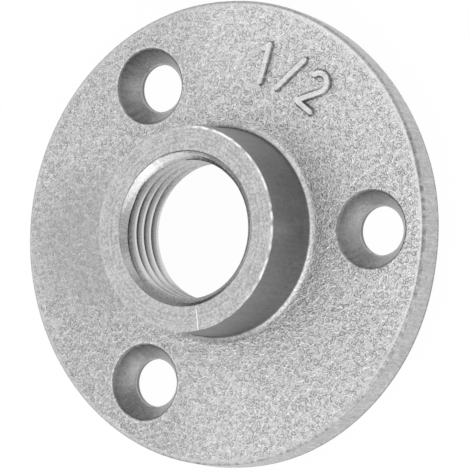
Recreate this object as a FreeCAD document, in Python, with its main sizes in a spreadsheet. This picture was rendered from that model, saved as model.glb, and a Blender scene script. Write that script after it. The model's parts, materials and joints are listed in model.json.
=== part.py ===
# Threaded floor flange: a cast disc with a short hub, tapped for a half inch pipe and held
# down by countersunk screws. Millimetres. The origin is the centre of the flat back face,
# +Z runs along the bore towards the mouth of the hub, and +X runs through one screw hole.
import FreeCAD, Part
import os
import Sketcher

PARTS_FOLDER = "parts"

# Driving dimensions: alias, value and what it measures. Angles are in degrees.
DIMENSIONS = [
    ("flange_diameter", 64.0, "across the rim at the back face"),
    ("plate_thickness", 3.7, "from the back face to the cast front face"),
    ("rim_draft", 5.0, "lean of the rim towards the bore, as it left the mould"),
    ("rim_front_radius", 0.5, "rounding where the rim meets the front face"),
    ("rim_back_chamfer", 0.3, "edge broken where the rim meets the back face"),
    ("hub_diameter", 27.74, "across the machined top of the hub"),
    ("hub_height", 9.1, "from the cast front face to the top of the hub"),
    ("hub_draft", 2.2, "lean of the hub wall towards the bore"),
    ("hub_root_radius", 0.8, "fillet where the hub grows out of the front face"),
    ("thread_minor_diameter", 18.631, "across the crests of the pipe thread"),
    ("thread_major_diameter", 20.955, "across the roots of the pipe thread, and its mouth"),
    ("mouth_chamfer_angle", 45.0, "between the bore axis and the lead-in at the mouth"),
    ("relief_diameter", 26.4, "across the tapered relief at the back face"),
    ("relief_depth", 4.5, "from the back face to the first turn of the thread"),
    ("screw_circle_diameter", 47.2, "circle through the centres of the screw holes"),
    ("screw_hole_count", 3, "screw holes, evenly spaced"),
    ("screw_hole_diameter", 6.6, "clearance for the shank of the screw"),
    ("countersink_diameter", 10.5, "across the countersink at the front face"),
    ("countersink_angle", 66.0, "whole angle of the countersink"),
]

# Sketcher's own numbers for the points of an edge, and for the sketch's level axis
START_POINT, END_POINT, CENTRE_POINT = range(1, 4)
LEVEL_AXIS = -1
SKETCH_ORIGIN = (LEVEL_AXIS, START_POINT)

# How near in mm a round edge has to be to the radius and height that it is looked up by
EDGE_TOLERANCE = 1e-4


def add_dimension_sheet(document):
    """Spreadsheet named sizes, one row for each driving dimension."""
    sheet = document.addObject("Spreadsheet::Sheet", "sizes")
    for row, (alias, value, meaning) in enumerate(DIMENSIONS, start=1):
        sheet.set(f"A{row}", alias)
        sheet.set(f"B{row}", str(value))
        sheet.set(f"C{row}", meaning)
        sheet.setAlias(f"B{row}", alias)
    document.recompute()
    return sheet


def origin_feature(body, role):
    """Plane or axis of the body's own origin, such as XY_Plane or Z_Axis."""
    return next(item for item in body.Origin.OriginFeatures if item.Role == role)


def add_sketch(body, name, plane_role):
    """Empty sketch on one of the body's origin planes."""
    sketch = body.newObject("Sketcher::SketchObject", name)
    sketch.AttachmentSupport = [(origin_feature(body, plane_role), "")]
    sketch.MapMode = "FlatFace"
    return sketch


def add_closed_outline(sketch, corners):
    """Line from each corner to the next and back to the first, joined end to end."""
    vectors = [FreeCAD.Vector(x, y, 0) for x, y in corners]
    for start, end in zip(vectors, vectors[1:] + vectors[:1]):
        sketch.addGeometry(Part.LineSegment(start, end), False)
    for line in range(len(vectors)):
        following = (line + 1) % len(vectors)
        joint = Sketcher.Constraint("Coincident", line, END_POINT, following, START_POINT)
        sketch.addConstraint(joint)


def add_driven_size(sketch, name, constraint, expression):
    """Named dimension of the sketch, its value driven by the sheet."""
    index = sketch.addConstraint(constraint)
    sketch.renameConstraint(index, name)
    sketch.setExpression(f"Constraints.{name}", expression)


def draw_flange_section(body, sheet):
    """Half section of the casting, radius along X and height along Z, bore included."""
    sketch = add_sketch(body, "flange_section", "XZ_Plane")
    rim_x = sheet.flange_diameter / 2
    hub_x = sheet.hub_diameter / 2
    mouth_x = sheet.thread_major_diameter / 2
    bore_x = sheet.thread_minor_diameter / 2
    top = sheet.plate_thickness + sheet.hub_height
    # The corners start near their places, and the constraints lean the walls.
    add_closed_outline(sketch, [
        (sheet.relief_diameter / 2, 0),
        (rim_x, 0),
        (rim_x, sheet.plate_thickness),
        (hub_x, sheet.plate_thickness),
        (hub_x, top),
        (mouth_x, top),
        (bore_x, top - (mouth_x - bore_x)),
        (bore_x, sheet.relief_depth),
    ])
    back_face, rim, front_face, hub_wall, hub_top, lead_in, bore = range(7)
    constrain = sketch.addConstraint
    constrain(Sketcher.Constraint("PointOnObject", back_face, START_POINT, LEVEL_AXIS))
    for level_edge in (back_face, front_face, hub_top):
        constrain(Sketcher.Constraint("Horizontal", level_edge))
    constrain(Sketcher.Constraint("Vertical", bore))

    def size(name, direction, first, second, expression):
        start_value = 1.0
        distance = Sketcher.Constraint(direction, *first, *second, start_value)
        add_driven_size(sketch, name, distance, expression)

    size("flange_radius", "DistanceX", SKETCH_ORIGIN, (back_face, END_POINT),
         "sizes.flange_diameter / 2")
    size("plate_thickness", "DistanceY", (rim, START_POINT), (rim, END_POINT),
         "sizes.plate_thickness")
    size("rim_lean", "DistanceX", (rim, END_POINT), (rim, START_POINT),
         "sizes.plate_thickness * tan(sizes.rim_draft * 1 deg)")
    size("hub_radius", "DistanceX", SKETCH_ORIGIN, (hub_top, START_POINT),
         "sizes.hub_diameter / 2")
    size("hub_height", "DistanceY", (hub_wall, START_POINT), (hub_wall, END_POINT),
         "sizes.hub_height")
    size("hub_lean", "DistanceX", (hub_wall, END_POINT), (hub_wall, START_POINT),
         "sizes.hub_height * tan(sizes.hub_draft * 1 deg)")
    size("mouth_radius", "DistanceX", SKETCH_ORIGIN, (hub_top, END_POINT),
         "sizes.thread_major_diameter / 2")
    size("bore_radius", "DistanceX", SKETCH_ORIGIN, (bore, START_POINT),
         "sizes.thread_minor_diameter / 2")
    size("lead_in_depth", "DistanceY", (lead_in, END_POINT), (lead_in, START_POINT),
         "(sizes.thread_major_diameter - sizes.thread_minor_diameter) / 2"
         " / tan(sizes.mouth_chamfer_angle * 1 deg)")
    size("relief_radius", "DistanceX", SKETCH_ORIGIN, (back_face, START_POINT),
         "sizes.relief_diameter / 2")
    size("relief_depth", "DistanceY", (back_face, START_POINT), (bore, END_POINT),
         "sizes.relief_depth")
    return sketch


def turn_casting(body, section):
    """Whole turn of the section round the bore axis."""
    casting = body.newObject("PartDesign::Revolution", "turned_casting")
    casting.Profile = section
    casting.ReferenceAxis = (origin_feature(body, "Z_Axis"), [""])
    casting.Angle = 360
    body.Document.recompute()
    return casting


def ring_edge_at(shape, radius, height):
    """Name of the one round edge with this radius and height."""
    found = []
    for number, edge in enumerate(shape.Edges, start=1):
        if not isinstance(edge.Curve, Part.Circle):
            continue
        same_radius = abs(edge.Curve.Radius - radius) < EDGE_TOLERANCE
        same_height = abs(edge.Curve.Center.z - height) < EDGE_TOLERANCE
        if same_radius and same_height:
            found.append(f"Edge{number}")
    if len(found) != 1:
        raise RuntimeError(f"{len(found)} edges of radius {radius} at height {height}")
    return found[0]


def dress_edge(base, kind, name, edge_name, size_property, alias):
    """Fillet or chamfer on one edge of the step before, its size driven by the sheet."""
    body = base.getParentGeoFeatureGroup()
    feature = body.newObject(kind, name)
    feature.Base = (base, [edge_name])
    feature.setExpression(size_property, f"sizes.{alias}")
    body.Document.recompute()
    return feature


def dress_casting(casting, section, sheet):
    """Round the rim's front edge and the root of the hub, and break the rim's back edge."""
    flange_radius = section.getDatum("flange_radius").Value
    face_radius = flange_radius - section.getDatum("rim_lean").Value
    root_radius = section.getDatum("hub_radius").Value + section.getDatum("hub_lean").Value
    front_edge = ring_edge_at(casting.Shape, face_radius, sheet.plate_thickness)
    rim_round = dress_edge(casting, "PartDesign::Fillet", "rim_round",
                           front_edge, "Radius", "rim_front_radius")
    root_edge = ring_edge_at(rim_round.Shape, root_radius, sheet.plate_thickness)
    hub_root = dress_edge(rim_round, "PartDesign::Fillet", "hub_root",
                          root_edge, "Radius", "hub_root_radius")
    back_edge = ring_edge_at(hub_root.Shape, flange_radius, 0)
    return dress_edge(hub_root, "PartDesign::Chamfer", "rim_back_break",
                      back_edge, "Size", "rim_back_chamfer")


def draw_screw_centre(body, sheet):
    """Circle on the cast front face that marks where the first screw goes."""
    sketch = add_sketch(body, "screw_centre", "XY_Plane")
    sketch.setExpression("AttachmentOffset.Base.z", "sizes.plate_thickness")
    place = FreeCAD.Vector(sheet.screw_circle_diameter / 2, 0, 0)
    upwards = FreeCAD.Vector(0, 0, 1)
    outline = Part.Circle(place, upwards, sheet.screw_hole_diameter / 2)
    circle = sketch.addGeometry(outline, False)
    on_axis = Sketcher.Constraint("PointOnObject", circle, CENTRE_POINT, LEVEL_AXIS)
    sketch.addConstraint(on_axis)
    from_bore = Sketcher.Constraint("DistanceX", *SKETCH_ORIGIN, circle, CENTRE_POINT, place.x)
    add_driven_size(sketch, "screw_circle_radius", from_bore, "sizes.screw_circle_diameter / 2")
    across = Sketcher.Constraint("Diameter", circle, sheet.screw_hole_diameter)
    add_driven_size(sketch, "hole_diameter", across, "sizes.screw_hole_diameter")
    body.Document.recompute()
    return sketch


def cut_screw_hole(body, centre_sketch):
    """One countersunk hole down through the plate."""
    hole = body.newObject("PartDesign::Hole", "screw_hole")
    hole.Profile = centre_sketch
    body.Document.recompute()
    hole.DepthType = "ThroughAll"
    hole.HoleCutType = "Countersink"
    hole.HoleCutCustomValues = True
    hole.setExpression("Diameter", "sizes.screw_hole_diameter")
    hole.setExpression("HoleCutDiameter", "sizes.countersink_diameter")
    hole.setExpression("HoleCutCountersinkAngle", "sizes.countersink_angle * 1 deg")
    body.Document.recompute()
    return hole


def repeat_round_bore(body, hole):
    """The screw holes, evenly spaced round the bore axis."""
    pattern = body.newObject("PartDesign::PolarPattern", "screw_holes")
    pattern.Originals = [hole]
    pattern.Axis = (origin_feature(body, "Z_Axis"), [""])
    pattern.Angle = 360
    pattern.setExpression("Occurrences", "sizes.screw_hole_count")
    body.Tip = pattern
    body.Document.recompute()
    return pattern


def model_floor_flange(document, sheet):
    """The whole flange: one casting, turned, dressed and drilled."""
    body = document.addObject("PartDesign::Body", "floor_flange")
    body.Label = "floor_flange"
    body.Placement = FreeCAD.Placement()
    section = draw_flange_section(body, sheet)
    casting = turn_casting(body, section)
    dressed = dress_casting(casting, section, sheet)
    hole = cut_screw_hole(body, draw_screw_centre(body, sheet))
    pattern = repeat_round_bore(body, hole)
    check_metal_removed([dressed, hole, pattern])
    return body


def check_metal_removed(steps):
    """Each cut has to leave less metal than the step before it."""
    for before, after in zip(steps, steps[1:]):
        if after.Shape.Volume >= before.Shape.Volume:
            raise RuntimeError(f"{after.Name} removed nothing from {before.Name}")


def check_document(document):
    """No object may have failed, and no sketch may be left loose."""
    for item in document.Objects:
        if "Invalid" in item.State or "Error" in item.State:
            raise RuntimeError(f"{item.Name} failed: {item.State}")
        if item.TypeId == "Sketcher::SketchObject" and not item.FullyConstrained:
            raise RuntimeError(f"{item.Name} is not fully constrained")


def write_step(body):
    """One STEP file for the piece, named after its label."""
    shape = body.Shape
    if shape.isNull() or not shape.isValid() or len(shape.Solids) != 1:
        raise RuntimeError(f"{body.Label} is not one valid solid")
    shape.exportStep(os.path.join(PARTS_FOLDER, f"{body.Label}.step"))
    box = shape.optimalBoundingBox(False, False)
    print(f"{body.Label}: {box.XLength:.2f} x {box.YLength:.2f} x {box.ZLength:.2f} mm,"
          f" {shape.Volume:.0f} cubic mm")


def main():
    os.makedirs(PARTS_FOLDER, exist_ok=True)
    document = FreeCAD.newDocument("floor_flange_model")
    sheet = add_dimension_sheet(document)
    flange = model_floor_flange(document, sheet)
    check_document(document)
    write_step(flange)


main()
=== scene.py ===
# Cast floor flange, dressed for a close look. Everything is in metres, in the frame's own axes:
# the back face lies on the floor, +Z runs up the bore, and +X runs through one screw hole.
import json
import math

import bpy
import numpy as np
from bpy.props import FloatProperty, FloatVectorProperty, PointerProperty
from mathutils import Matrix, Vector, geometry, noise


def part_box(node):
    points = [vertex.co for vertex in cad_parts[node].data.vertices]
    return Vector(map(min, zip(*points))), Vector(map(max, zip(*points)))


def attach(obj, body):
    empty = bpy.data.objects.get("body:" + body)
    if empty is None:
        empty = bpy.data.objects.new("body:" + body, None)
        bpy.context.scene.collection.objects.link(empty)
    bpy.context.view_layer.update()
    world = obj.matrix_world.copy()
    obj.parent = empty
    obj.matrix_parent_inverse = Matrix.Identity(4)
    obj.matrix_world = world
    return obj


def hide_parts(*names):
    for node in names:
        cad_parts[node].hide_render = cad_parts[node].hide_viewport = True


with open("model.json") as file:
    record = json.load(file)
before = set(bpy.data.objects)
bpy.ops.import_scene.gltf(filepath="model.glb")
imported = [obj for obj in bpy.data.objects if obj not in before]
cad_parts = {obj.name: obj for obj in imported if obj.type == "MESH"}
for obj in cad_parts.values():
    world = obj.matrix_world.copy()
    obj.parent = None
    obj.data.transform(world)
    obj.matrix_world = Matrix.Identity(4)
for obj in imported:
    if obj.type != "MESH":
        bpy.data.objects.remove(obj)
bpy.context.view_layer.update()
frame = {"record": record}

bl_info = {
    "name": "Cast Floor Flange",
    "version": (1, 0, 0),
    "blender": (4, 5, 0),
    "location": "View3D > Sidebar > Flange",
    "description": "Builds a cast, tapped floor flange with its studio",
    "category": "Add Mesh",
}

MM = 0.001
NODE = "floor_flange"

# Width of the picture in pixels
IMAGE_WIDTH = 470

# Rise of one turn of the thread, which has 14 to the inch
THREAD_PITCH = 25.4 / 14 * MM


def mount_size(mount, size):
    """A length that the packed record states for a mount."""
    dims = next(m["dims"] for m in frame["record"]["mounts"] if m["name"] == mount)
    return dims[size] * MM


def length(name, description, default):
    return FloatProperty(name=name, description=description, default=default,
                         unit="LENGTH", subtype="DISTANCE", precision=5)


def angle(name, description, degrees):
    return FloatProperty(name=name, description=description, default=math.radians(degrees),
                         unit="ROTATION", subtype="ANGLE")


def amount(name, description, default):
    return FloatProperty(name=name, description=description, default=default, precision=3)


def colour(name, description, default):
    return FloatVectorProperty(name=name, description=description, default=default,
                               subtype="COLOR", size=3, min=0.0, max=1.0)


class FlangeSizes(bpy.types.PropertyGroup):
    """Sizes of the casting."""
    flange_radius: length("Flange radius", "Rim at the back face", 31.99 * MM)
    plate_thickness: length("Plate thickness", "Back face to front face", 3.7 * MM)
    rim_draft: angle("Rim draft", "Lean of the rim", 5.0)
    rim_round: length("Rim round", "Rounding at the front of the rim", 0.5 * MM)
    back_break: length("Back break", "Broken edge at the back of the rim", 0.3 * MM)
    mould_step: length("Mould step", "How far the mould's halves were out of line", 0.26 * MM)
    hub_radius: length("Hub radius", "Hub at its top", 13.87 * MM)
    hub_draft: angle("Hub draft", "Lean of the hub wall", 2.2)
    hub_root: length("Hub root", "Fillet at the foot of the hub", 0.8 * MM)
    total_height: length("Height", "Back face to hub top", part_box(NODE)[1][2])
    relief_radius: length("Relief radius", "Tapered relief at the back face", 13.2 * MM)
    relief_depth: length("Relief depth", "Back face to thread", 4.5 * MM)
    screw_circle: length("Screw circle", "Radius through the screw holes",
                         mount_size("screw_holes", "pcd_mm") / 2)
    screw_hole: length("Screw hole", "Radius of a screw hole",
                       mount_size("screw_holes", "hole_r_mm"))
    sink_radius: length("Countersink", "Radius at the front face", 5.25 * MM)
    sink_angle: angle("Countersink angle", "Whole angle", 66.0)
    sink_bulge: length("Countersink bulge", "Hollow of the countersink's wall", 0.18 * MM)
    sink_lip: length("Countersink lip", "Rounding of the countersink's lip", 0.35 * MM)
    lip_unevenness: length("Lip unevenness", "How far the lip wanders in and out", 0.16 * MM)
    worn_edge: length("Worn edge", "Rounding of the machined edges", 0.12 * MM)


class ThreadSizes(bpy.types.PropertyGroup):
    """Sizes of the tapped pipe thread."""
    crest_radius: length("Crest radius", "Bore at the crests", mount_size("pipe_socket", "r_mm"))
    root_radius: length("Root radius", "Bore at the roots", 10.4775 * MM)
    pitch: length("Pitch", "Rise in one turn", THREAD_PITCH)
    flank_angle: angle("Flank angle", "Whole angle of the thread form", 55.0)
    crest_flat: length("Crest flat", "Width of the flat that the drill left", THREAD_PITCH / 4)
    first_crest: length("First crest", "Height of a crest over +X", 0.50 * MM)


class SkinSettings(bpy.types.PropertyGroup):
    """The wrinkled skin of the casting, and its raised size mark."""
    cell: length("Cell", "Width of one wrinkle cell", 0.68 * MM)
    depth: length("Depth", "Height of the wrinkles", 0.05 * MM)
    mark_height: length("Mark height", "How far the mark stands proud", 0.6 * MM)
    mark_stroke: length("Mark stroke", "Width of a stroke of the mark", 0.8 * MM)
    mark_size: length("Mark size", "Height of a character", 5.2 * MM)
    mark_radius: length("Mark radius", "From the bore axis to the middle of the mark", 23.9 * MM)
    mark_angle: angle("Mark angle", "Middle of the mark, from +X", 62.5)
    cast_metal: colour("Cast metal", "Skin of the casting", (0.5, 0.5, 0.5))
    faced_metal: colour("Faced metal", "Machined top of the hub", (0.440, 0.440, 0.440))
    tapped_metal: colour("Tapped metal", "Thread and chamfer", (0.50, 0.50, 0.50))
    # Also the colour of the painted highlights on worn edges and on the thread's crests
    bright_metal: colour("Bright metal", "Worn edges and scratches", (0.88, 0.88, 0.88))


class StudioSettings(bpy.types.PropertyGroup):
    """Camera and light."""
    distance: length("Distance", "Camera to the flange", 500.3 * MM)
    tilt: angle("Tilt", "Camera's angle from the bore axis", 31.83)
    swing: angle("Swing", "Camera's heading round the bore axis, from +X", -6.38)
    roll: angle("Roll", "Turn of the camera about its own axis", 0.91)
    aim_right: length("Aim right", "Flange's place right of the picture's middle", -0.10 * MM)
    aim_up: length("Aim up", "Flange's place above the picture's middle", 0.13 * MM)
    focal_pixels: amount("Focal length", "Focal length in pixels of the picture", 3650.5)
    world_light: amount("World light", "Strength of the soft light all round", 0.85)


GROUPS = {
    "flange_sizes": FlangeSizes,
    "thread_sizes": ThreadSizes,
    "skin_settings": SkinSettings,
    "studio_settings": StudioSettings,
}

# Points round each loop
HUB_SEGMENTS = 280
RIM_SEGMENTS = 540
HOLE_SEGMENTS = 104

# Loops along each band of the surface, and rows in one turn of the thread
RIM_LOOPS = 9
RIM_BEND_LOOPS = 6
ROOT_LOOPS = 7
HUB_LOOPS = 24
TOP_LOOPS = 8
RELIEF_LOOPS = 8
LIP_LOOPS = 4
SINK_LOOPS = 12
LAND_LOOPS = 5
ROWS_PER_PITCH = 16

# Distances between points on the front face, on the back face and round the mark
FACE_SPACING = 0.30 * MM
BACK_SPACING = 0.90 * MM
MARK_SPACING = 0.13 * MM

# Distances that the spread points keep from the edges of the front face and of the back face
FACE_MARGIN = 0.6 * FACE_SPACING
BACK_MARGIN = 0.4 * BACK_SPACING

# How far a spread point may be off its place, in spacings
SPREAD_UNEVENNESS = 0.16

# Seed of the noise that bends the wrinkles, which Blender otherwise takes from the clock
SKIN_SEED = 7

# Triangulation: output type with the hull's triangles, and distance in mm at which points join
HULL_TRIANGLES = 0
JOIN_DISTANCE = 1e-6

# Heights that differ by less than this are the same
LEVEL_TOLERANCE = 1e-6

# Edges that turn by more than this look sharp
SHARP_ANGLE = math.radians(42)

SCREW_HOLES = 3

# Distance between the mark's characters, in heights of a character
MARK_PITCH = 0.84

# Bands inside and outside the mark's sides that are left to the closer rows of points
INNER_CLEARANCE = 0.08 * MM
OUTER_CLEARANCE = 0.10 * MM

# How far beyond a stroke's half width its side's look reaches, and how far inside it its top's ends
MARK_SIDE_SPREAD = 0.12 * MM
MARK_TOP_INSET = 0.03 * MM

# Distances that the loops across the hub's top keep from its outer edge and from the thread's roots
TOP_OUTER_INSET = 0.35 * MM
TOP_INNER_INSET = 0.14 * MM

# How far the edge of the bore's mouth wanders in and out
MOUTH_UNEVENNESS = 0.03 * MM

# How far a point has to lie outside the thread to be on the chamfer or in the relief
THREAD_CLEARANCE = 0.01 * MM

# Burr on the hub's worn edge: its middle and its swing, in widths of that edge
BURR_MIDDLE = 0.2
BURR_SWING = 0.9

# Half the width of the floor, and its height, a hair under the back face
FLOOR_REACH = 3.0
FLOOR = -0.02 * MM

# Share of plain white in the floor as the camera and mirrors see it. The rest takes the shadow
FLOOR_GLOW = 0.97

# Sides on which the hub's worn top edge and its foot carry a painted highlight, as angles from +X
BURR_HIGHLIGHT_SIDE = math.radians(22)
FOOT_HIGHLIGHT_SIDE = math.radians(10)

# Side on which the rim's rounding has painted shade and the worn edge of the plate beside it a
# painted highlight
RIM_SIDE = math.radians(12)

# Side on which the rim has painted shade along its back edge and on the lower part of its rounding
RIM_LOW_SIDE = math.radians(-45)

# Side on which the rim's front edge is worn and has a painted highlight
RIM_WORN_HIGHLIGHT_SIDE = math.radians(25)

# Sides on which the rim's back edge is short and is proud, as the mould's halves were out of line
SHORT_SIDE = math.radians(50)
PROUD_SIDE = math.radians(-48)

# Cosines of the angle from those sides at which the step starts and is whole
STEP_COSINES = (0.75, 1.0)

# Sides on which the edge of the bore's mouth has painted shade and the thread's crests a painted
# highlight
MOUTH_SIDE = math.radians(45)
THREAD_SIDE = math.radians(188)

# The crescent is a painted highlight, with painted shade below and beyond it
# Bright crescent on the mouth's chamfer: angle at which it ends, angle over which it narrows to
# that end, how far down it reaches, and half the fade at its edge as a share of that
CRESCENT_END = math.radians(174)
CRESCENT_TAPER = math.radians(30)
CRESCENT_DROP = 0.8 * MM
CRESCENT_FADE = 0.12

# Shares of the thread's depth between which the look turns to the flank's and to the root's painted
# shade
FLANK_DEPTHS = (0.0, 0.45)
ROOT_DEPTHS = (0.8, 1.0)

# Finishes, in the order of the material slots
CAST, MACHINED, TAPPED = range(3)

# Brighter and dimmer parts of the tent: direction, angles in degrees from it at which the
# change starts and is whole, and the change of strength
TENT_LIGHTS = [
    ((-0.25, 0.10, 0.95), 65, 25, 0.45),
    ((0.47, -0.02, 0.88), 47, 18, -0.65),
    ((0.45, -0.75, 0.45), 38, 12, 0.80),
    ((-0.20, -0.92, 0.25), 44, 15, 0.40),
    ((0.87, -0.12, 0.49), 28, 10, 0.55),
    ((-0.10, 0.98, 0.10), 50, 20, -0.45),
]

# Look of each region: share of wrinkled skin, tone from dark to light that carries painted light
# and shade, share of bright wear and painted highlight
PLATE = (0.85, 0.60, 0.0)
# Smooth skin with painted shade
SMOOTH_SHADED_PLATE = (0.4, 0.42, 0.0)
MARK_TOP = (0.35, 0.60, 0.0)
# Painted shade on the mark's sides
MARK_SIDE = (0.2, 0.0, 0.0)
# Painted shade on the hub's wall, darker low down
HUB_WALL = (0.05, 0.20, 0.0)
HUB_WALL_LOW = (0.05, 0.05, 0.0)
# Painted shade round the hub's foot, and a painted highlight with a little wear on one side
HUB_SHADE = (0.4, 0.22, 0.0)
HUB_FOOT = (0.5, 0.80, 0.05)
# Painted shade on the rim, darker in bands on some sides; its worn front edge also has a painted
# highlight
RIM = (0.3, 0.44, 0.0)
RIM_SHADE = (0.1, 0.24, 0.0)
RIM_DARK = (0.1, 0.08, 0.0)
RIM_WORN_HIGHLIGHT = (0.3, 0.62, 0.2)
# Painted shade in the countersinks, darkest at the lip, lighter on the lower side and towards the
# foot, and in the holes' lands
SINK_LIP = (0.1, 0.06, 0.0)
SINK_LIP_LOW = (0.1, 0.20, 0.0)
SINK_FOOT = (0.1, 0.43, 0.0)
LAND = (0.0, 0.05, 0.0)
PLAIN = (0.0, 0.50, 0.0)
# Bright wear with a painted highlight on the hub's top edge
BURR_AND_HIGHLIGHT = (0.0, 0.50, 1.0)
# Painted shade at the edge of the bore's mouth
MOUTH_DARK = (0.0, 0.05, 0.0)
# Painted highlight on the crests, brighter on one side, and painted shade on the flanks and roots
CREST = (0.0, 0.70, 0.52)
CREST_DARK = (0.0, 0.38, 0.15)
FLANK = (0.0, 0.32, 0.0)
ROOT = (0.0, 0.55, 0.0)
# The chamfer's raised tone is a painted highlight, lowered to painted shade below the crescent
CHAMFER = (0.0, 0.85, 0.0)
CHAMFER_SHADE = (0.0, 0.56, 0.0)

# Middle of the part of the plate where the skin was pressed smooth, and distances from it at
# which the skin starts to wrinkle and is as wrinkled as elsewhere
# The same part has painted shade, a lower tone that fades out as the skin wrinkles
SMOOTH_SPOT = (-21 * MM, -1 * MM)
SMOOTH_REACH = (5 * MM, 14 * MM)

# How the plate darkens with painted shade: axis, places along it at which that starts and is whole,
# and loss of tone
PLATE_SHADES = [
    (0, 2 * MM, -10 * MM, 0.12),
    (1, -4 * MM, -16 * MM, 0.05),
]

# Distances from the plate's edge at which its wear and painted highlight start and are whole, and
# the middle and the swing of their brightness round the flange
RUB_HIGHLIGHT_START = 0.6 * MM
RUB_HIGHLIGHT_WHOLE = 0.1 * MM
RUB_HIGHLIGHT_MIDDLE = 0.12
RUB_HIGHLIGHT_SWING = 0.22

# Scratch across the hub's top
SCRATCH_START = (2.1 * MM, -10.9 * MM)
SCRATCH_END = (2.5 * MM, -13.8 * MM)
SCRATCH_WIDTH = 0.11 * MM


class Shell:
    """Points and faces of one closed surface, gathered loop by loop."""

    def __init__(self):
        self.points = []
        self.looks = []
        self.faces = []
        self.finishes = []

    def add(self, points, look=PLAIN):
        """New points, with one look for all of them or one for each. Returns their numbers."""
        first = len(self.points)
        self.points.extend(points.tolist())
        self.looks.extend(np.broadcast_to(look, (len(points), 3)).tolist())
        return np.arange(first, len(self.points))

    def bridge(self, loop, following, finish):
        """Band of quads from one closed loop to the next one, which has as many points."""
        corners = [loop, np.roll(loop, -1), np.roll(following, -1), following]
        self.faces.extend(np.stack(corners, axis=1).tolist())
        self.finishes.extend([finish] * len(loop))

    def sweep(self, loop, sections, finish, look=PLAIN):
        """Bands through new loops, given as points, on from a loop that is there."""
        for section in sections:
            following = self.add(section, look)
            self.bridge(loop, following, finish)
            loop = following
        return loop

    def fill(self, loops, inner, keep, finish, upwards):
        """Flat triangles between closed loops, through the inner points."""
        numbers = np.concatenate(loops + [inner])
        places = np.array([self.points[n][:2] for n in numbers]) / MM
        edges = []
        first = 0
        for loop in loops:
            around = first + np.arange(len(loop))
            edges.extend(zip(around.tolist(), np.roll(around, -1).tolist()))
            first += len(loop)
        corners, _, triangles, origins, _, _ = geometry.delaunay_2d_cdt(
            [Vector(place) for place in places.tolist()], edges, [],
            HULL_TRIANGLES, JOIN_DISTANCE, True)
        corners = np.array([tuple(corner) for corner in corners]) * MM
        origins = np.array([origin[0] for origin in origins])
        triangles = np.array(triangles)
        triangles = triangles[keep(corners[triangles].mean(axis=1), 0.0)]
        first_side = corners[triangles[:, 1]] - corners[triangles[:, 0]]
        second_side = corners[triangles[:, 2]] - corners[triangles[:, 0]]
        area = first_side[:, 0] * second_side[:, 1] - first_side[:, 1] * second_side[:, 0]
        backwards = (area < 0) == upwards
        triangles[backwards] = triangles[backwards][:, ::-1]
        self.faces.extend(numbers[origins[triangles]].tolist())
        self.finishes.extend([finish] * len(triangles))

    def to_mesh(self, name):
        mesh = bpy.data.meshes.new(name)
        mesh.from_pydata(self.points, [], self.faces)
        looks = mesh.attributes.new("look", "FLOAT_VECTOR", "POINT")
        looks.data.foreach_set("vector", np.ravel(self.looks))
        mesh.polygons.foreach_set("material_index", self.finishes)
        return mesh


def ring(radius, height, segments, centre=(0.0, 0.0)):
    """Closed loop of points. Its radius and height may vary round it."""
    turn = ring_turns(segments)
    return np.column_stack([centre[0] + radius * np.cos(turn),
                            centre[1] + radius * np.sin(turn),
                            np.broadcast_to(height, segments)])


def ring_turns(segments):
    return np.arange(segments) * (math.tau / segments)


def ring_noise(segments, waves, seed):
    """Smooth unevenness round a ring, about -1 to 1."""
    return np.array([noise.noise(Vector((math.cos(t) * waves, math.sin(t) * waves, seed)))
                     for t in ring_turns(segments)])


def smooth_step(low, high, value):
    share = np.clip((value - low) / (high - low), 0, 1)
    return share * share * (3 - 2 * share)


def on_side(turn, side, start, whole):
    """0 away from one side of the flange and 1 on it, between two cosines of the angle from it."""
    return smooth_step(start, whole, np.cos(turn - side))


def hole_centres(sizes):
    """Middle of each screw hole, in the plane of the plate."""
    return [(sizes.screw_circle * math.cos(turn), sizes.screw_circle * math.sin(turn))
            for turn in ring_turns(SCREW_HOLES)]


def plate_region(outer, inner, centres, hole):
    """Test for points between two circles and clear of the screw holes, by a margin."""
    def keep(points, margin):
        reach = np.hypot(points[:, 0], points[:, 1])
        inside = (reach < outer - margin) & (reach > inner + margin)
        for x, y in centres:
            inside &= np.hypot(points[:, 0] - x, points[:, 1] - y) > hole + margin
        return inside
    return keep


def uneven_grid(reach, spacing, seed):
    """Slightly uneven triangular grid over a square."""
    rows = np.arange(-reach, reach, spacing * math.sqrt(3) / 2)
    columns = np.arange(-reach, reach, spacing)
    x, y = np.meshgrid(columns, rows)
    x[1::2] += spacing / 2
    grid = np.column_stack([x.ravel(), y.ravel()])
    limits = (-SPREAD_UNEVENNESS, SPREAD_UNEVENNESS)
    unevenness = np.random.default_rng(seed).uniform(*limits, grid.shape)
    return grid + unevenness * spacing


def thread_radius(turn, height, thread):
    """Radius of a right-handed tapped wall at this angle and height."""
    rise = height - thread.first_crest - thread.pitch * turn / math.tau
    from_crest = np.abs((rise / thread.pitch + 0.5) % 1.0 - 0.5) * thread.pitch
    depth = (from_crest - thread.crest_flat / 2) / math.tan(thread.flank_angle / 2)
    return thread.crest_radius + np.clip(depth, 0, thread.root_radius - thread.crest_radius)


def stroke_gap(points, start, end):
    """Distance from each point to a straight stroke's middle line."""
    run = end - start
    along = np.clip((points - start) @ run / (run @ run), 0, 1)
    return np.linalg.norm(points - start - along[:, None] * run, axis=1)


def mark_gap(points, strokes):
    """Distance from each point to the nearest stroke's middle line."""
    return np.min([stroke_gap(points, start, end) for start, end in strokes], axis=0)


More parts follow.
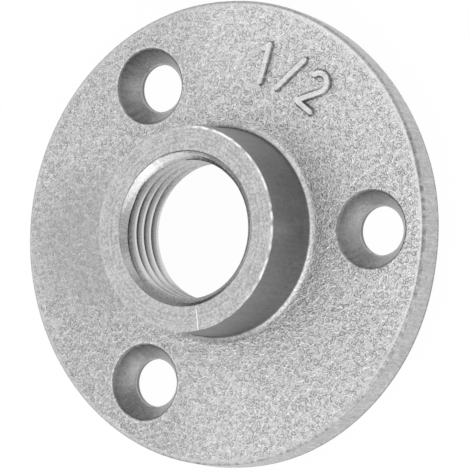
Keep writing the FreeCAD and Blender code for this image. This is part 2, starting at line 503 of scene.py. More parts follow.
def mark_strokes(skin):
    """Straight strokes of a plain 1/2, the nominal pipe size, in the plane of the plate."""
    # Places across and up, in heights of a character
    bowl = [(0.25 * math.cos(turn), 0.75 + 0.25 * math.sin(turn))
            for turn in np.radians(np.linspace(160, -40, 10))]
    characters = [
        [(0.0, 0.0), (0.0, 1.0), (-0.15, 0.86)],
        [(-0.22, 0.0), (0.22, 1.0)],
        bowl + [(-0.25, 0.0), (0.27, 0.0)],
    ]
    pitch = MARK_PITCH * skin.mark_size / skin.mark_radius
    strokes = []
    for place, line in enumerate(characters):
        turn = skin.mark_angle + pitch * (1 - place)
        outwards = np.array([math.cos(turn), math.sin(turn)])
        sideways = np.array([math.sin(turn), -math.cos(turn)])
        spots = [outwards * (skin.mark_radius + (v - 0.5) * skin.mark_size)
                 + sideways * u * skin.mark_size for u, v in line]
        strokes.extend(zip(spots[:-1], spots[1:]))
    return strokes


def stroke_outline(start, end, offset):
    """Points at one distance all round a straight stroke."""
    run = end - start
    size = np.linalg.norm(run)
    run = run / size
    side = np.array([-run[1], run[0]]) * offset
    along = np.linspace(0, size, max(2, round(size / MARK_SPACING)))[:, None] * run
    heading = math.atan2(run[1], run[0])
    turns = np.linspace(-math.pi / 2, math.pi / 2, round(math.pi * offset / MARK_SPACING))
    caps = [spot + offset * np.column_stack([np.cos(facing + turns), np.sin(facing + turns)])
            for spot, facing in ((end, heading), (start, heading + math.pi))]
    return np.concatenate([start + along + side, start + along - side] + caps)


def mark_points(skin, strokes):
    """Close points along the shoulders and the feet of the raised strokes."""
    rows = []
    for offset in mark_shoulders(skin):
        outline = np.concatenate([stroke_outline(a, b, offset) for a, b in strokes])
        rows.append(outline[mark_gap(outline, strokes) > offset - 0.003 * MM])
    return thin_out(np.concatenate(rows), 0.6 * MARK_SPACING)


def mark_shoulders(skin):
    """Distances from a stroke's middle line where its side starts, turns and ends."""
    half = skin.mark_stroke / 2
    return np.array([-0.06, 0.0, 0.07, 0.14]) * MM + half


def thin_out(points, distance):
    """The points, less any that lies nearer than this to one before it."""
    cells = {}
    kept = []
    for point in points:
        column, row = (point // distance).astype(int)
        near = [other for i in (-1, 0, 1) for j in (-1, 0, 1)
                for other in cells.get((column + i, row + j), ())]
        if all(math.dist(point, other) >= distance for other in near):
            cells.setdefault((column, row), []).append(point)
            kept.append(point)
    return np.array(kept)


def plate_points(skin, strokes, keep):
    """Points of the front face: an even spread, and closer rows round the raised mark."""
    # The mark stands near the rim, so a little more than its reach covers the whole face
    reach = np.hypot(*np.abs(np.array(strokes)).max(axis=(0, 1)))
    grid = uneven_grid(1.2 * reach, FACE_SPACING, seed=5)
    grid = grid[keep(grid, FACE_MARGIN)]
    shoulders = mark_shoulders(skin)
    gap = mark_gap(grid, strokes)
    clear = (gap < shoulders[0] - INNER_CLEARANCE) | (gap > shoulders[-1] + OUTER_CLEARANCE)
    return np.concatenate([grid[clear], mark_points(skin, strokes)])


def mixed_look(first, second, share):
    """Look of each point, between two looks."""
    return np.asarray(first) + share[:, None] * (np.asarray(second) - first)


def plate_look(points, strokes, skin, edge):
    """Look of each point of the front face."""
    # Painted shade round the smooth spot, where the skin is also smoother, and towards -X and -Y
    away = np.hypot(points[:, 0] - SMOOTH_SPOT[0], points[:, 1] - SMOOTH_SPOT[1])
    look = mixed_look(SMOOTH_SHADED_PLATE, PLATE, smooth_step(*SMOOTH_REACH, away))
    for axis, start, end, loss in PLATE_SHADES:
        look[:, 1] -= loss * smooth_step(start, end, points[:, axis])
    # Wear and a painted highlight along the plate's edge, brighter on one side
    reach = np.hypot(points[:, 0], points[:, 1])
    rub_and_highlight = smooth_step(edge - RUB_HIGHLIGHT_START, edge - RUB_HIGHLIGHT_WHOLE, reach)
    facing = np.cos(np.arctan2(points[:, 1], points[:, 0]) - RIM_SIDE)
    look[:, 2] += np.clip(RUB_HIGHLIGHT_MIDDLE + RUB_HIGHLIGHT_SWING * facing, 0, 1) * rub_and_highlight
    gap = mark_gap(points, strokes)
    half = skin.mark_stroke / 2
    # Painted shade on the mark's sides
    look[gap < half + MARK_SIDE_SPREAD] = MARK_SIDE
    look[gap < half - MARK_TOP_INSET] = MARK_TOP
    return look


def build_rim(shell, sizes):
    """Edge of the disc, from the back face up to the front face."""
    turn = ring_turns(RIM_SEGMENTS)
    short = sizes.mould_step * on_side(turn, SHORT_SIDE, *STEP_COSINES)
    proud = sizes.mould_step * on_side(turn, PROUD_SIDE, *STEP_COSINES)
    back_radius = sizes.flange_radius + proud - short
    back_loop = shell.add(ring(back_radius - sizes.back_break, 0.0, RIM_SEGMENTS))
    low = sizes.back_break
    high = sizes.plate_thickness - sizes.rim_round
    lean = math.tan(sizes.rim_draft)
    front_radius = sizes.flange_radius + short - high * lean
    wall = [ring((back_radius - low * lean) * (1 - share) + front_radius * share,
                 low + share * (high - low), RIM_SEGMENTS)
            for share in np.linspace(0, 1, RIM_LOOPS)]
    # Painted shade along the rim's back edge on one side
    dark = mixed_look(RIM, RIM_DARK, on_side(turn, RIM_LOW_SIDE, start=-0.2, whole=0.8))
    loop = shell.sweep(back_loop, wall[:1], CAST, dark)
    loop = shell.sweep(loop, wall[1:], CAST, RIM)
    bend = [ring(front_radius - sizes.rim_round * (1 - math.cos(tilt)),
                 high + sizes.rim_round * math.sin(tilt), RIM_SEGMENTS)
            for tilt in np.linspace(0, math.pi / 2, RIM_BEND_LOOPS)[1:]]
    # Painted shade on the lower and then the upper part of the rounding, each on one side
    ragged = np.clip(0.35 + ring_noise(RIM_SEGMENTS, waves=140.0, seed=9.0), 0, 1)
    dark = mixed_look(RIM, RIM_DARK, ragged * on_side(turn, RIM_LOW_SIDE, start=0.0, whole=0.6))
    loop = shell.sweep(loop, bend[:3], CAST, dark)
    shade = mixed_look(RIM, RIM_SHADE, ragged * on_side(turn, RIM_SIDE, start=0.5, whole=0.95))
    loop = shell.sweep(loop, bend[3:-1], CAST, shade)
    # Wear and a painted highlight along the front edge on one side
    worn_and_highlight = mixed_look(RIM, RIM_WORN_HIGHLIGHT, on_side(turn, RIM_WORN_HIGHLIGHT_SIDE, start=0.2, whole=0.9))
    front_loop = shell.sweep(loop, bend[-1:], CAST, worn_and_highlight)
    return back_loop, front_loop


def foot_look():
    """Look round the foot of the hub: a painted highlight with a little wear on one side, painted
    shade elsewhere.
    """
    rub_and_highlight = on_side(ring_turns(HUB_SEGMENTS), FOOT_HIGHLIGHT_SIDE, start=0.0, whole=0.95)
    return mixed_look(HUB_SHADE, HUB_FOOT, rub_and_highlight)


def build_hub(shell, sizes, root_loop, root_radius):
    """Root fillet, wall and worn edge of the hub, out onto its machined top. Returns the edge's
    inner loop.
    """
    face = sizes.plate_thickness
    top = sizes.total_height
    lean = math.tan(sizes.hub_draft)
    fillet = sizes.hub_root
    bend = [ring(root_radius - fillet * math.sin(turn), face + fillet * (1 - math.cos(turn)),
                 HUB_SEGMENTS)
            for turn in np.linspace(0, math.pi / 2 - sizes.hub_draft, ROOT_LOOPS)[1:]]
    # Painted shade round the foot, and a painted highlight on one side
    loop = shell.sweep(root_loop, bend[:3], CAST, foot_look())
    loop = shell.sweep(loop, bend[3:], CAST, HUB_WALL_LOW)
    ease = sizes.worn_edge
    turn = ring_turns(HUB_SEGMENTS)
    # Painted shade on the wall, darkest near its foot except on the +Y side
    upper = smooth_step(0.4, 0.9, np.sin(turn))
    for share in np.linspace(0, 1, HUB_LOOPS)[1:]:
        height = face + fillet + (top - ease - face - fillet) * share
        section = ring(sizes.hub_radius + (top - height) * lean, height, HUB_SEGMENTS)
        loop = shell.sweep(loop, [section], CAST,
                           mixed_look(HUB_WALL_LOW, HUB_WALL, share + upper))
    burr = ease * (BURR_MIDDLE + BURR_SWING * ring_noise(HUB_SEGMENTS, waves=18.0, seed=2.0))
    # Wear and a painted highlight on the worn edge, patchy, on one side
    patches = 0.7 + 2.2 * ring_noise(HUB_SEGMENTS, waves=14.0, seed=4.0)
    rub_and_highlight = np.clip(on_side(turn, BURR_HIGHLIGHT_SIDE, start=0.1, whole=0.8) * patches, 0.05, 1)
    edge = [ring(sizes.hub_radius + burr, top - 0.5 * ease, HUB_SEGMENTS),
            ring(sizes.hub_radius - 0.6 * ease + burr, top, HUB_SEGMENTS),
            ring(sizes.hub_radius - 1.8 * ease + 0.5 * burr, top, HUB_SEGMENTS)]
    return shell.sweep(loop, edge, MACHINED, mixed_look(PLAIN, BURR_AND_HIGHLIGHT, rub_and_highlight))


def wind_wall(shell, top_loop, low_loop, thread, surface_at):
    """Wall between two level loops whose rows climb with the thread, so its edges stay crisp."""
    step = thread.pitch / ROWS_PER_PITCH
    turn = ring_turns(HUB_SEGMENTS)
    low = shell.points[low_loop[0]][2]
    top = shell.points[top_loop[0]][2]
    crest = thread.first_crest + thread.pitch * turn / math.tau
    rows = np.arange(math.floor((low - crest.max()) / step),
                     math.ceil((top - crest.min()) / step) + 1)
    heights = crest + rows[:, None] * step
    turns = np.broadcast_to(turn, heights.shape)
    margin = 0.2 * step
    inside = (heights > low + margin) & (heights < top - margin)
    numbers = np.where(heights < (low + top) / 2, low_loop, top_loop)
    radius, look = surface_at(turns[inside], heights[inside])
    numbers[inside] = shell.add(np.column_stack([radius * np.cos(turns[inside]),
                                                 radius * np.sin(turns[inside]),
                                                 heights[inside]]), look)
    around_seam = np.append(numbers[ROWS_PER_PITCH:, 0], [top_loop[0]] * ROWS_PER_PITCH)
    beside = np.column_stack([numbers[:, 1:], around_seam])
    corners = np.stack([numbers[1:], beside[1:], beside[:-1], numbers[:-1]], axis=2)
    for face in corners.reshape(-1, 4).tolist():
        face = list(dict.fromkeys(face))
        if len(face) > 2:
            shell.faces.append(face)
            shell.finishes.append(TAPPED)


def build_bore(shell, sizes, thread, hub_loop):
    """Machined top, mouth chamfer, thread and tapered relief, down to the back face."""
    top = sizes.total_height
    turn = ring_turns(HUB_SEGMENTS)
    uneven = ring_noise(HUB_SEGMENTS, waves=22.0, seed=6.0)
    mouth = thread.root_radius + MOUTH_UNEVENNESS * uneven
    across = [ring(radius, top, HUB_SEGMENTS) for radius in
              np.linspace(sizes.hub_radius - TOP_OUTER_INSET,
                          thread.root_radius + TOP_INNER_INSET, TOP_LOOPS)]
    loop = shell.sweep(hub_loop, across, MACHINED)
    # Painted shade at the edge of the mouth, on one side
    shaded = on_side(turn, MOUTH_SIDE, start=-1.3, whole=0.3)
    mouth_loop = shell.sweep(loop, [ring(mouth, top, HUB_SEGMENTS)], MACHINED,
                             mixed_look(PLAIN, MOUTH_DARK, shaded))
    relief_slope = (sizes.relief_radius - thread.crest_radius) / sizes.relief_depth
    thread_depth = thread.root_radius - thread.crest_radius

    def relief_at(height):
        return thread.crest_radius + (sizes.relief_depth - height) * relief_slope

    def bore_at(around, height):
        chamfer = np.interp(around, turn, mouth) - (top - height)
        tapped = thread_radius(around, height, thread)
        radius = np.maximum.reduce([chamfer, relief_at(height), tapped])
        depth = (radius - thread.crest_radius) / thread_depth
        # Painted highlight on the crests, brighter on one side, and painted shade on the flanks and
        # roots
        lit = on_side(around, THREAD_SIDE, start=0.55, whole=0.97)
        crest = mixed_look(CREST_DARK, CREST, lit)
        look = mixed_look(crest, FLANK, smooth_step(*FLANK_DEPTHS, depth))
        look = mixed_look(look, ROOT, smooth_step(*ROOT_DEPTHS, depth))
        # The chamfer carries a painted highlight, a crescent that narrows and ends, with painted
        # shade below and beyond it
        bright = np.clip((CRESCENT_END - around) / CRESCENT_TAPER, 0, 1)
        drop = (top - height) / CRESCENT_DROP
        crescent_shade = smooth_step(bright - CRESCENT_FADE, bright + CRESCENT_FADE, drop)
        crescent_shade *= 1 - smooth_step(CRESCENT_END, CRESCENT_END + CRESCENT_TAPER, around)
        off_thread = radius > tapped + THREAD_CLEARANCE
        look[off_thread] = mixed_look(CHAMFER, CHAMFER_SHADE, crescent_shade)[off_thread]
        return radius, look

    thread_end = sizes.relief_depth - thread_depth / relief_slope
    low_loop = shell.add(ring(relief_at(thread_end), thread_end, HUB_SEGMENTS), ROOT)
    wind_wall(shell, mouth_loop, low_loop, thread, bore_at)
    relief = [ring(relief_at(height), height, HUB_SEGMENTS)
              for height in np.linspace(thread_end, 0.0, RELIEF_LOOPS)[1:]]
    return shell.sweep(low_loop, relief, CAST)


def build_screw_hole(shell, sizes, centre, lip_loop, lip_radius):
    """Rounded lip, countersink and short straight land of one hole, down to the back face."""
    face = sizes.plate_thickness
    half_angle = sizes.sink_angle / 2
    sink_depth = (sizes.sink_radius - sizes.screw_hole) / math.tan(half_angle)
    bend = sizes.sink_lip
    uneven = sizes.lip_unevenness * ring_noise(HOLE_SEGMENTS, waves=14.0, seed=3 + centre[1] / MM)
    lip = [ring(lip_radius - bend * math.sin(turn) + uneven * math.sin(turn),
                face - bend * (1 - math.cos(turn)), HOLE_SEGMENTS, centre)
           for turn in np.linspace(0, math.pi / 2 - half_angle, LIP_LOOPS)[1:]]
    # Painted shade on the lip and the countersink, lighter on the hole's lower side and towards the
    # foot, and on the land
    lip_look = mixed_look(SINK_LIP, SINK_LIP_LOW,
                          smooth_step(-1.0, 1.0, -np.sin(ring_turns(HOLE_SEGMENTS))))
    loop = shell.sweep(lip_loop, lip, CAST, lip_look)
    start_radius = lip_radius + (uneven - bend) * math.cos(half_angle)
    start_height = face - bend * (1 - math.sin(half_angle))
    for share in np.linspace(0, 1, SINK_LOOPS)[1:]:
        radius = start_radius + (sizes.screw_hole - start_radius) * share
        radius += sizes.sink_bulge * math.sin(math.pi * share)
        height = start_height + (face - sink_depth - start_height) * share
        loop = shell.sweep(loop, [ring(radius, height, HOLE_SEGMENTS, centre)], CAST,
                           mixed_look(lip_look, SINK_FOOT, np.array([share])))
    land = [ring(sizes.screw_hole, height, HOLE_SEGMENTS, centre)
            for height in np.linspace(face - sink_depth, 0.0, LAND_LOOPS)[1:]]
    loop = shell.sweep(loop, land[:-1], CAST, LAND)
    return shell.sweep(loop, land[-1:], CAST)


def skin_height(point, cell):
    """Height of the cast wrinkles at a point, about -1 to 1."""
    place = Vector(point) / cell
    place += 0.35 * noise.noise_vector(place * 0.8)
    nearest, second = noise.voronoi(place)[0][:2]
    border = 1 - min(1.0, (second - nearest) / 0.5)
    return 1.3 * border - 0.6 + 0.5 * noise.noise(place * 0.5)


def raise_skin(mesh, shell, sizes, skin, strokes):
    """Move the points along their normals by the wrinkles, and lift the mark."""
    noise.seed_set(SKIN_SEED)
    count = len(mesh.vertices)
    normals = np.empty(count * 3)
    mesh.vertex_normals.foreach_get("vector", normals)
    normals = normals.reshape(-1, 3)
    points = np.array(shell.points)
    carried = np.array(shell.looks)[:, 0]
    heights = np.zeros(count)
    for number in np.flatnonzero(carried > 0):
        heights[number] = carried[number] * skin_height(points[number], skin.cell)
    points += normals * (heights * skin.depth)[:, None]
    on_plate = np.abs(np.array(shell.points)[:, 2] - sizes.plate_thickness) < LEVEL_TOLERANCE
    gap = mark_gap(points[on_plate][:, :2], strokes)
    shoulders = mark_shoulders(skin)
    points[on_plate, 2] += skin.mark_height * (1 - smooth_step(shoulders[0], shoulders[-1], gap))
    mesh.vertices.foreach_set("co", points.ravel())
    mesh.update()


def build_casting(sizes, thread, skin):
    """The whole flange as one closed mesh."""
    shell = Shell()
    face = sizes.plate_thickness
    back_loop, front_loop = build_rim(shell, sizes)
    wall_foot = sizes.hub_radius + (sizes.total_height - face) * math.tan(sizes.hub_draft)
    root_radius = wall_foot + sizes.hub_root
    root_loop = shell.add(ring(root_radius, face, HUB_SEGMENTS), foot_look())
    hub_loop = build_hub(shell, sizes, root_loop, root_radius)
    relief_loop = build_bore(shell, sizes, thread, hub_loop)

    centres = hole_centres(sizes)
    half_angle = sizes.sink_angle / 2
    lip_radius = sizes.sink_radius + sizes.sink_lip * math.tan((math.pi / 2 - half_angle) / 2)
    lip_loops = [shell.add(ring(lip_radius, face, HOLE_SEGMENTS, c), PLATE) for c in centres]
    hole_loops = [build_screw_hole(shell, sizes, centre, loop, lip_radius)
                  for centre, loop in zip(centres, lip_loops)]

    strokes = mark_strokes(skin)
    edge = sizes.flange_radius - face * math.tan(sizes.rim_draft) - sizes.rim_round
    spread = plate_region(edge, root_radius, centres, lip_radius)
    spots = plate_points(skin, strokes, spread)
    inner = shell.add(np.column_stack([spots, np.full(len(spots), face)]),
                      plate_look(spots, strokes, skin, edge))
    # The rim wanders, so outwards its own loop bounds the faces, not a circle
    covered = plate_region(math.inf, root_radius, centres, lip_radius)
    shell.fill([front_loop, root_loop] + lip_loops, inner, covered, CAST, True)

    spread = plate_region(sizes.flange_radius - sizes.back_break - sizes.mould_step,
                          sizes.relief_radius, centres, sizes.screw_hole)
    spots = uneven_grid(sizes.flange_radius, BACK_SPACING, seed=8)
    spots = spots[spread(spots, BACK_MARGIN)]
    inner = shell.add(np.column_stack([spots, np.zeros(len(spots))]))
    covered = plate_region(math.inf, sizes.relief_radius, centres, sizes.screw_hole)
    shell.fill([back_loop, relief_loop] + hole_loops, inner, covered, CAST, False)

    mesh = shell.to_mesh("flange_casting")
    raise_skin(mesh, shell, sizes, skin, strokes)
    mesh.shade_smooth()
    mesh.set_sharp_from_angle(angle=SHARP_ANGLE)
    return mesh


class Wire:
    """An output socket that Python's operators turn into Math nodes."""

    def __init__(self, graph, socket):
        self.graph = graph
        self.socket = socket

    def __add__(self, other):
        return self.graph.maths("ADD", self, other)

    def __radd__(self, other):
        return self.graph.maths("ADD", other, self)

    def __sub__(self, other):
        return self.graph.maths("SUBTRACT", self, other)

    def __rsub__(self, other):
        return self.graph.maths("SUBTRACT", other, self)

    def __mul__(self, other):
        return self.graph.maths("MULTIPLY", self, other)

    def __rmul__(self, other):
        return self.graph.maths("MULTIPLY", other, self)

    def __abs__(self):
        return self.graph.maths("ABSOLUTE", self)


class Graph:
    """Node tree of one material or of the world."""

    def __init__(self, owner):
        owner.use_nodes = True
        self.tree = owner.node_tree
        self.tree.nodes.clear()

    def node(self, kind, settings=None, inputs=None, output=0):
        """Node of this type: settings first, then values or links of its sockets."""
        node = self.tree.nodes.new(kind)
        for name, value in (settings or {}).items():
            setattr(node, name, value)
        for name, value in (inputs or {}).items():
            if isinstance(value, Wire):
                self.tree.links.new(value.socket, node.inputs[name])
            else:
                node.inputs[name].default_value = value
        return Wire(self, node.outputs[output]) if node.outputs else node

    def maths(self, operation, *operands):
        return self.node("ShaderNodeMath", {"operation": operation}, dict(enumerate(operands)))

    def vector(self, operation, inputs, output="Vector"):
        return self.node("ShaderNodeVectorMath", {"operation": operation}, inputs, output)

    def dot(self, first, second):
        return self.vector("DOT_PRODUCT", {0: first, 1: second}, output="Value")

    def ramp(self, value, low, high, start=0.0, end=1.0):
        """Value mapped smoothly from low..high to start..end."""
        return self.node("ShaderNodeMapRange", {"interpolation_type": "SMOOTHSTEP"},
                         {"Value": value, "From Min": low, "From Max": high,
                          "To Min": start, "To Max": end})

    def fade(self, value, low, high):
        """1 up to the low value, falling smoothly to 0 at the high one."""
        return self.ramp(value, low, high, start=1.0, end=0.0)

    def stroke(self, place, start, end, width):
        """1 on a straight stroke across XY, fading to 0 at its sides and ends."""
        size = math.dist(start, end)
        run = ((end[0] - start[0]) / size, (end[1] - start[1]) / size, 0.0)
        side = (run[1], -run[0], 0.0)
        offset = self.vector("SUBTRACT", {0: place, 1: (*start, 0.0)})
        along = self.dot(offset, run)
        across = self.dot(offset, side)
        over = abs(along - size / 2) - size / 2
        return self.fade(abs(across), 0.6 * width, width) * self.fade(over, 0.0, width)

    def noise(self, place, size, detail=2.0, output="Fac"):
        """Cloudy unevenness whose patches are about this size."""
        return self.node("ShaderNodeTexNoise", {},
                         {"Vector": place, "Scale": 1 / size, "Detail": detail}, output)

    def blend(self, share, first, second):
        """Colour between two colours."""
        return self.node("ShaderNodeMix", {"data_type": "RGBA"},
                         {0: share, 6: opaque(first), 7: opaque(second)}, output=2)

    def tones(self, share, base, darkest, lightest):
        """Colour between a dark and a light tone of a base colour."""
        return self.blend(share, [c * darkest for c in base],
                          [min(1.0, c * lightest) for c in base])

    def bump(self, height, strength, distance):
        """Normal of a surface with this relief."""
        return self.node("ShaderNodeBump", {},
                         {"Strength": strength, "Distance": distance, "Height": height},
                         output="Normal")

    def metal(self, shade, roughness, normal):
        """Bare metal as the material's surface."""
        shader = self.node("ShaderNodeBsdfPrincipled", {}, {
            "Base Color": shade, "Metallic": 1.0, "Roughness": roughness, "Normal": normal})
        self.node("ShaderNodeOutputMaterial", {}, {"Surface": shader})


def opaque(value):
    return value if isinstance(value, Wire) else (*value, 1.0)


def look_parts(graph):
    """Wrinkled skin, tone with painted light and shade, and wear with painted highlights, each from
    0 to 1.
    """
    look = graph.node("ShaderNodeAttribute", {"attribute_name": "look"}, output="Vector")
    split = graph.node("ShaderNodeSeparateXYZ", {}, {"Vector": look}).socket.node
    return [Wire(graph, split.outputs[part]) for part in range(3)]


def cast_material(skin):
    """Wrinkled zinc skin of the casting."""
    material = bpy.data.materials.new("cast_skin")
    graph = Graph(material)
    place = graph.node("ShaderNodeTexCoord", output="Object")
    carried, tone, wear_and_highlight = look_parts(graph)
    drift = graph.noise(place, 0.9 * MM, output="Color")
    drift = graph.vector("SUBTRACT", {0: drift, 1: (0.5, 0.5, 0.5)})
    drift = graph.vector("SCALE", {0: drift, "Scale": 1.0 * MM})
    cells = {"Vector": graph.vector("ADD", {0: place, 1: drift}), "Scale": 1 / skin.cell}
    reach = graph.node("ShaderNodeTexVoronoi", {"feature": "F1", "voronoi_dimensions": "2D"},
                       cells, output="Distance")
    border = graph.node("ShaderNodeTexVoronoi",
                        {"feature": "DISTANCE_TO_EDGE", "voronoi_dimensions": "2D"},
                        cells, output="Distance")
    broken = graph.ramp(graph.noise(place, 0.7 * MM), 0.42, 0.56)
    groove = graph.fade(abs(reach - 0.36), 0.0, 0.15) * broken
    ridge = graph.fade(border, 0.02, 0.16) * (1.0 - 0.6 * broken)
    winding = graph.noise(place, 0.66 * MM, detail=1.0)
    crease = graph.fade(abs(winding - 0.52), 0.0, 0.055)
    furrow = graph.fade(abs(winding - 0.42), 0.0, 0.055)
    grain = graph.noise(place, 0.26 * MM) - 0.5
    across = graph.dot(place, (1.0, 0.0, 0.0))
    coarse = graph.ramp(across, -8 * MM, 10 * MM, start=0.50, end=0.85)
    cells_height = (1.6 * ridge - 1.4 * groove - 0.14) * coarse
    height = cells_height + (1.1 * crease - 0.7 * furrow - 0.1) * (1.3 - coarse) + 1.6 * grain
    bump = graph.bump(height, strength=0.7 * carried + 0.1, distance=0.06 * MM)
    patches = graph.noise(place, 6 * MM, detail=3.0) - 0.5
    mottle = graph.noise(place, 1.3 * MM) - 0.5
    # Painted shade in the wrinkles' grooves and painted light on their ridges, from their height
    share = tone + 0.10 * patches + 0.05 * mottle + height * (0.25 * carried + 0.02)
    shade = graph.tones(share, skin.cast_metal, darkest=0.3, lightest=2.0)
    shade = graph.blend(wear_and_highlight, shade, skin.bright_metal)
    graph.metal(shade, 0.40 + 0.10 * carried + 0.16 * patches, bump)
    return material


def machined_material(skin):
    """Faced top of the hub, with faint turning marks and one scratch."""
    material = bpy.data.materials.new("machined_face")
    graph = Graph(material)
    place = graph.node("ShaderNodeTexCoord", output="Object")
    grain = graph.noise(place, 0.30 * MM, detail=3.0) - 0.5
    patches = graph.noise(place, 2.5 * MM, detail=3.0) - 0.5
    flat = graph.vector("MULTIPLY", {0: place, 1: (1.0, 1.0, 0.0)})
    radius = graph.vector("LENGTH", {0: flat}, output="Value")
    turned = graph.node("ShaderNodeTexNoise", {"noise_dimensions": "1D"},
                        {"W": radius, "Scale": 1 / (0.35 * MM), "Detail": 2.0}) - 0.5
    scratch = graph.stroke(place, SCRATCH_START, SCRATCH_END, SCRATCH_WIDTH)
    height = grain + 0.5 * turned - 0.8 * scratch
    bump = graph.bump(height, strength=0.8, distance=0.05 * MM)
    tone, wear_and_highlight = look_parts(graph)[1:]
    share = 0.5 + 2.6 * grain + 1.2 * patches + 0.8 * turned
    shade = graph.tones(share, skin.faced_metal, darkest=0.72, lightest=1.28)
    # Low tone gives painted shade at the edge of the bore's mouth
    shade = graph.blend(2.0 * tone, [c * 0.2 for c in skin.faced_metal], shade)
    # Bright wear with a painted highlight on the hub's edge, and the scratch
    shade = graph.blend(graph.maths("MAXIMUM", wear_and_highlight, scratch), shade, skin.bright_metal)
    graph.metal(shade, 0.40 + 0.3 * patches, bump)
    return material


def tapped_material(skin):
    """Freshly cut thread and chamfer."""
    material = bpy.data.materials.new("tapped_bore")
    graph = Graph(material)
    place = graph.node("ShaderNodeTexCoord", output="Object")
    grain = graph.noise(place, 0.3 * MM, detail=3.0) - 0.5
    bump = graph.bump(grain, strength=0.3, distance=0.03 * MM)
    tone, wear_and_highlight = look_parts(graph)[1:]
    # The tone and the wear carry painted highlights and shade on the thread and the chamfer
    shade = graph.tones(tone + 0.8 * grain, skin.tapped_metal, darkest=0.2, lightest=1.3)
    shade = graph.blend(wear_and_highlight, shade, skin.bright_metal)
    graph.metal(shade, 0.24 + 0.15 * grain, bump)
    return material


class FLANGE_OT_casting(bpy.types.Operator):
    """Cast flange with its tapped bore, screw holes and size mark"""
    bl_idname = "flange.casting"
    bl_label = "Casting"

    def execute(self, context):
        scene = context.scene
        mesh = build_casting(scene.flange_sizes, scene.thread_sizes, scene.skin_settings)
        for make in (cast_material, machined_material, tapped_material):
            mesh.materials.append(make(scene.skin_settings))
        casting = bpy.data.objects.new("flange_casting", mesh)
        scene.collection.objects.link(casting)
        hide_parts(NODE)
        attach(casting, "root")
        return {"FINISHED"}


def build_camera(scene, studio):
    """Long lens that looks down on the flange, turned so that +Y is up in the picture."""
    tilt = studio.tilt
    towards = Vector((math.sin(tilt) * math.cos(studio.swing),
                      math.sin(tilt) * math.sin(studio.swing), math.cos(tilt)))
    right = Vector((0, 1, 0)).cross(towards).normalized()
    up = towards.cross(right)
    turned_right = math.cos(studio.roll) * right + math.sin(studio.roll) * up
    turned_up = math.cos(studio.roll) * up - math.sin(studio.roll) * right
    camera = bpy.data.cameras.new("camera")
    camera.lens = studio.focal_pixels / IMAGE_WIDTH * camera.sensor_width
    holder = bpy.data.objects.new("camera", camera)
    axes = Matrix((turned_right, turned_up, towards)).transposed()
    place = towards * studio.distance - turned_right * studio.aim_right \
        - turned_up * studio.aim_up
    holder.matrix_world = Matrix.Translation(place) @ axes.to_4x4()
    scene.collection.objects.link(holder)
    scene.camera = holder


def camera_or_mirror(graph):
    """1 for rays from the camera or off a mirror-like surface, else 0."""
    path = "ShaderNodeLightPath"
    camera = graph.node(path, output="Is Camera Ray")
    glossy = graph.node(path, output="Is Glossy Ray")
    through = graph.node(path, output="Is Transmission Ray")
    return graph.maths("MAXIMUM", graph.maths("MAXIMUM", camera, glossy), through)


def floor_material():
    """White floor that keeps a soft shadow."""
    material = bpy.data.materials.new("studio_floor")
    graph = Graph(material)
    diffuse = graph.node("ShaderNodeBsdfDiffuse", {}, {"Color": (0.95, 0.95, 0.95, 1.0)})
    glow = graph.node("ShaderNodeEmission", {}, {"Color": (1.0, 1.0, 1.0, 1.0), "Strength": 1.0})
    share = camera_or_mirror(graph) * FLOOR_GLOW
    mixed = graph.node("ShaderNodeMixShader", {}, {0: share, 1: diffuse, 2: glow})
    graph.node("ShaderNodeOutputMaterial", {}, {"Surface": mixed})
    return material


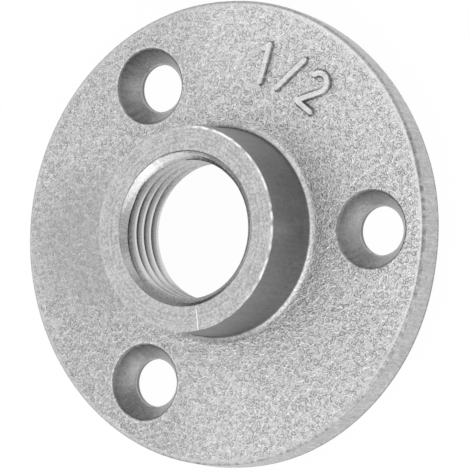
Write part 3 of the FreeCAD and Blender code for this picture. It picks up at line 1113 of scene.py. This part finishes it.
def build_world(scene, studio):
    """Soft white tent, brighter and dimmer in places. The camera sees plain white instead."""
    world = bpy.data.worlds.new("studio")
    scene.world = world
    graph = Graph(world)
    seen = graph.node("ShaderNodeLightPath", output="Is Camera Ray")
    towards = graph.node("ShaderNodeTexCoord", output="Generated")
    strength = studio.world_light
    for direction, wide, narrow, gain in TENT_LIGHTS:
        facing = graph.dot(towards, Vector(direction).normalized())
        strength = strength + gain * graph.ramp(facing, math.cos(math.radians(wide)),
                                                math.cos(math.radians(narrow)))
    white = (1.0, 1.0, 1.0, 1.0)
    soft = graph.node("ShaderNodeBackground", {}, {"Color": white, "Strength": strength})
    plain = graph.node("ShaderNodeBackground", {}, {"Color": white, "Strength": 1.0})
    mixed = graph.node("ShaderNodeMixShader", {}, {0: seen, 1: soft, 2: plain})
    graph.node("ShaderNodeOutputWorld", {}, {"Surface": mixed})


class FLANGE_OT_studio(bpy.types.Operator):
    """Pale floor, soft light and camera"""
    bl_idname = "flange.studio"
    bl_label = "Studio"

    def execute(self, context):
        scene = context.scene
        studio = scene.studio_settings
        reach = FLOOR_REACH
        mesh = bpy.data.meshes.new("studio_floor")
        mesh.from_pydata([(-reach, -reach, FLOOR), (reach, -reach, FLOOR),
                          (reach, reach, FLOOR), (-reach, reach, FLOOR)], [], [(0, 1, 2, 3)])
        mesh.materials.append(floor_material())
        floor = bpy.data.objects.new("studio_floor", mesh)
        scene.collection.objects.link(floor)
        build_world(scene, studio)
        build_camera(scene, studio)
        scene.view_settings.view_transform = "Standard"
        return {"FINISHED"}


class FLANGE_PT_panel(bpy.types.Panel):
    """Sizes and steps of the flange"""
    bl_idname = "FLANGE_PT_panel"
    bl_label = "Floor Flange"
    bl_space_type = "VIEW_3D"
    bl_region_type = "UI"
    bl_category = "Flange"

    def draw(self, context):
        layout = self.layout
        for name, group in GROUPS.items():
            box = layout.box()
            box.label(text=group.__doc__)
            for size in group.__annotations__:
                box.prop(getattr(context.scene, name), size)
        for operator in OPERATORS:
            layout.operator(operator.bl_idname)


OPERATORS = (FLANGE_OT_casting, FLANGE_OT_studio)


def register():
    for group in GROUPS.values():
        bpy.utils.register_class(group)
    for name, group in GROUPS.items():
        setattr(bpy.types.Scene, name, PointerProperty(type=group))
    for shown in OPERATORS + (FLANGE_PT_panel,):
        bpy.utils.register_class(shown)


def unregister():
    for shown in (FLANGE_PT_panel,) + OPERATORS[::-1]:
        bpy.utils.unregister_class(shown)
    for name, group in GROUPS.items():
        delattr(bpy.types.Scene, name)
        bpy.utils.unregister_class(group)


def main():
    register()
    bpy.ops.flange.casting()
    bpy.ops.flange.studio()


if __name__ == "__main__":
    main()
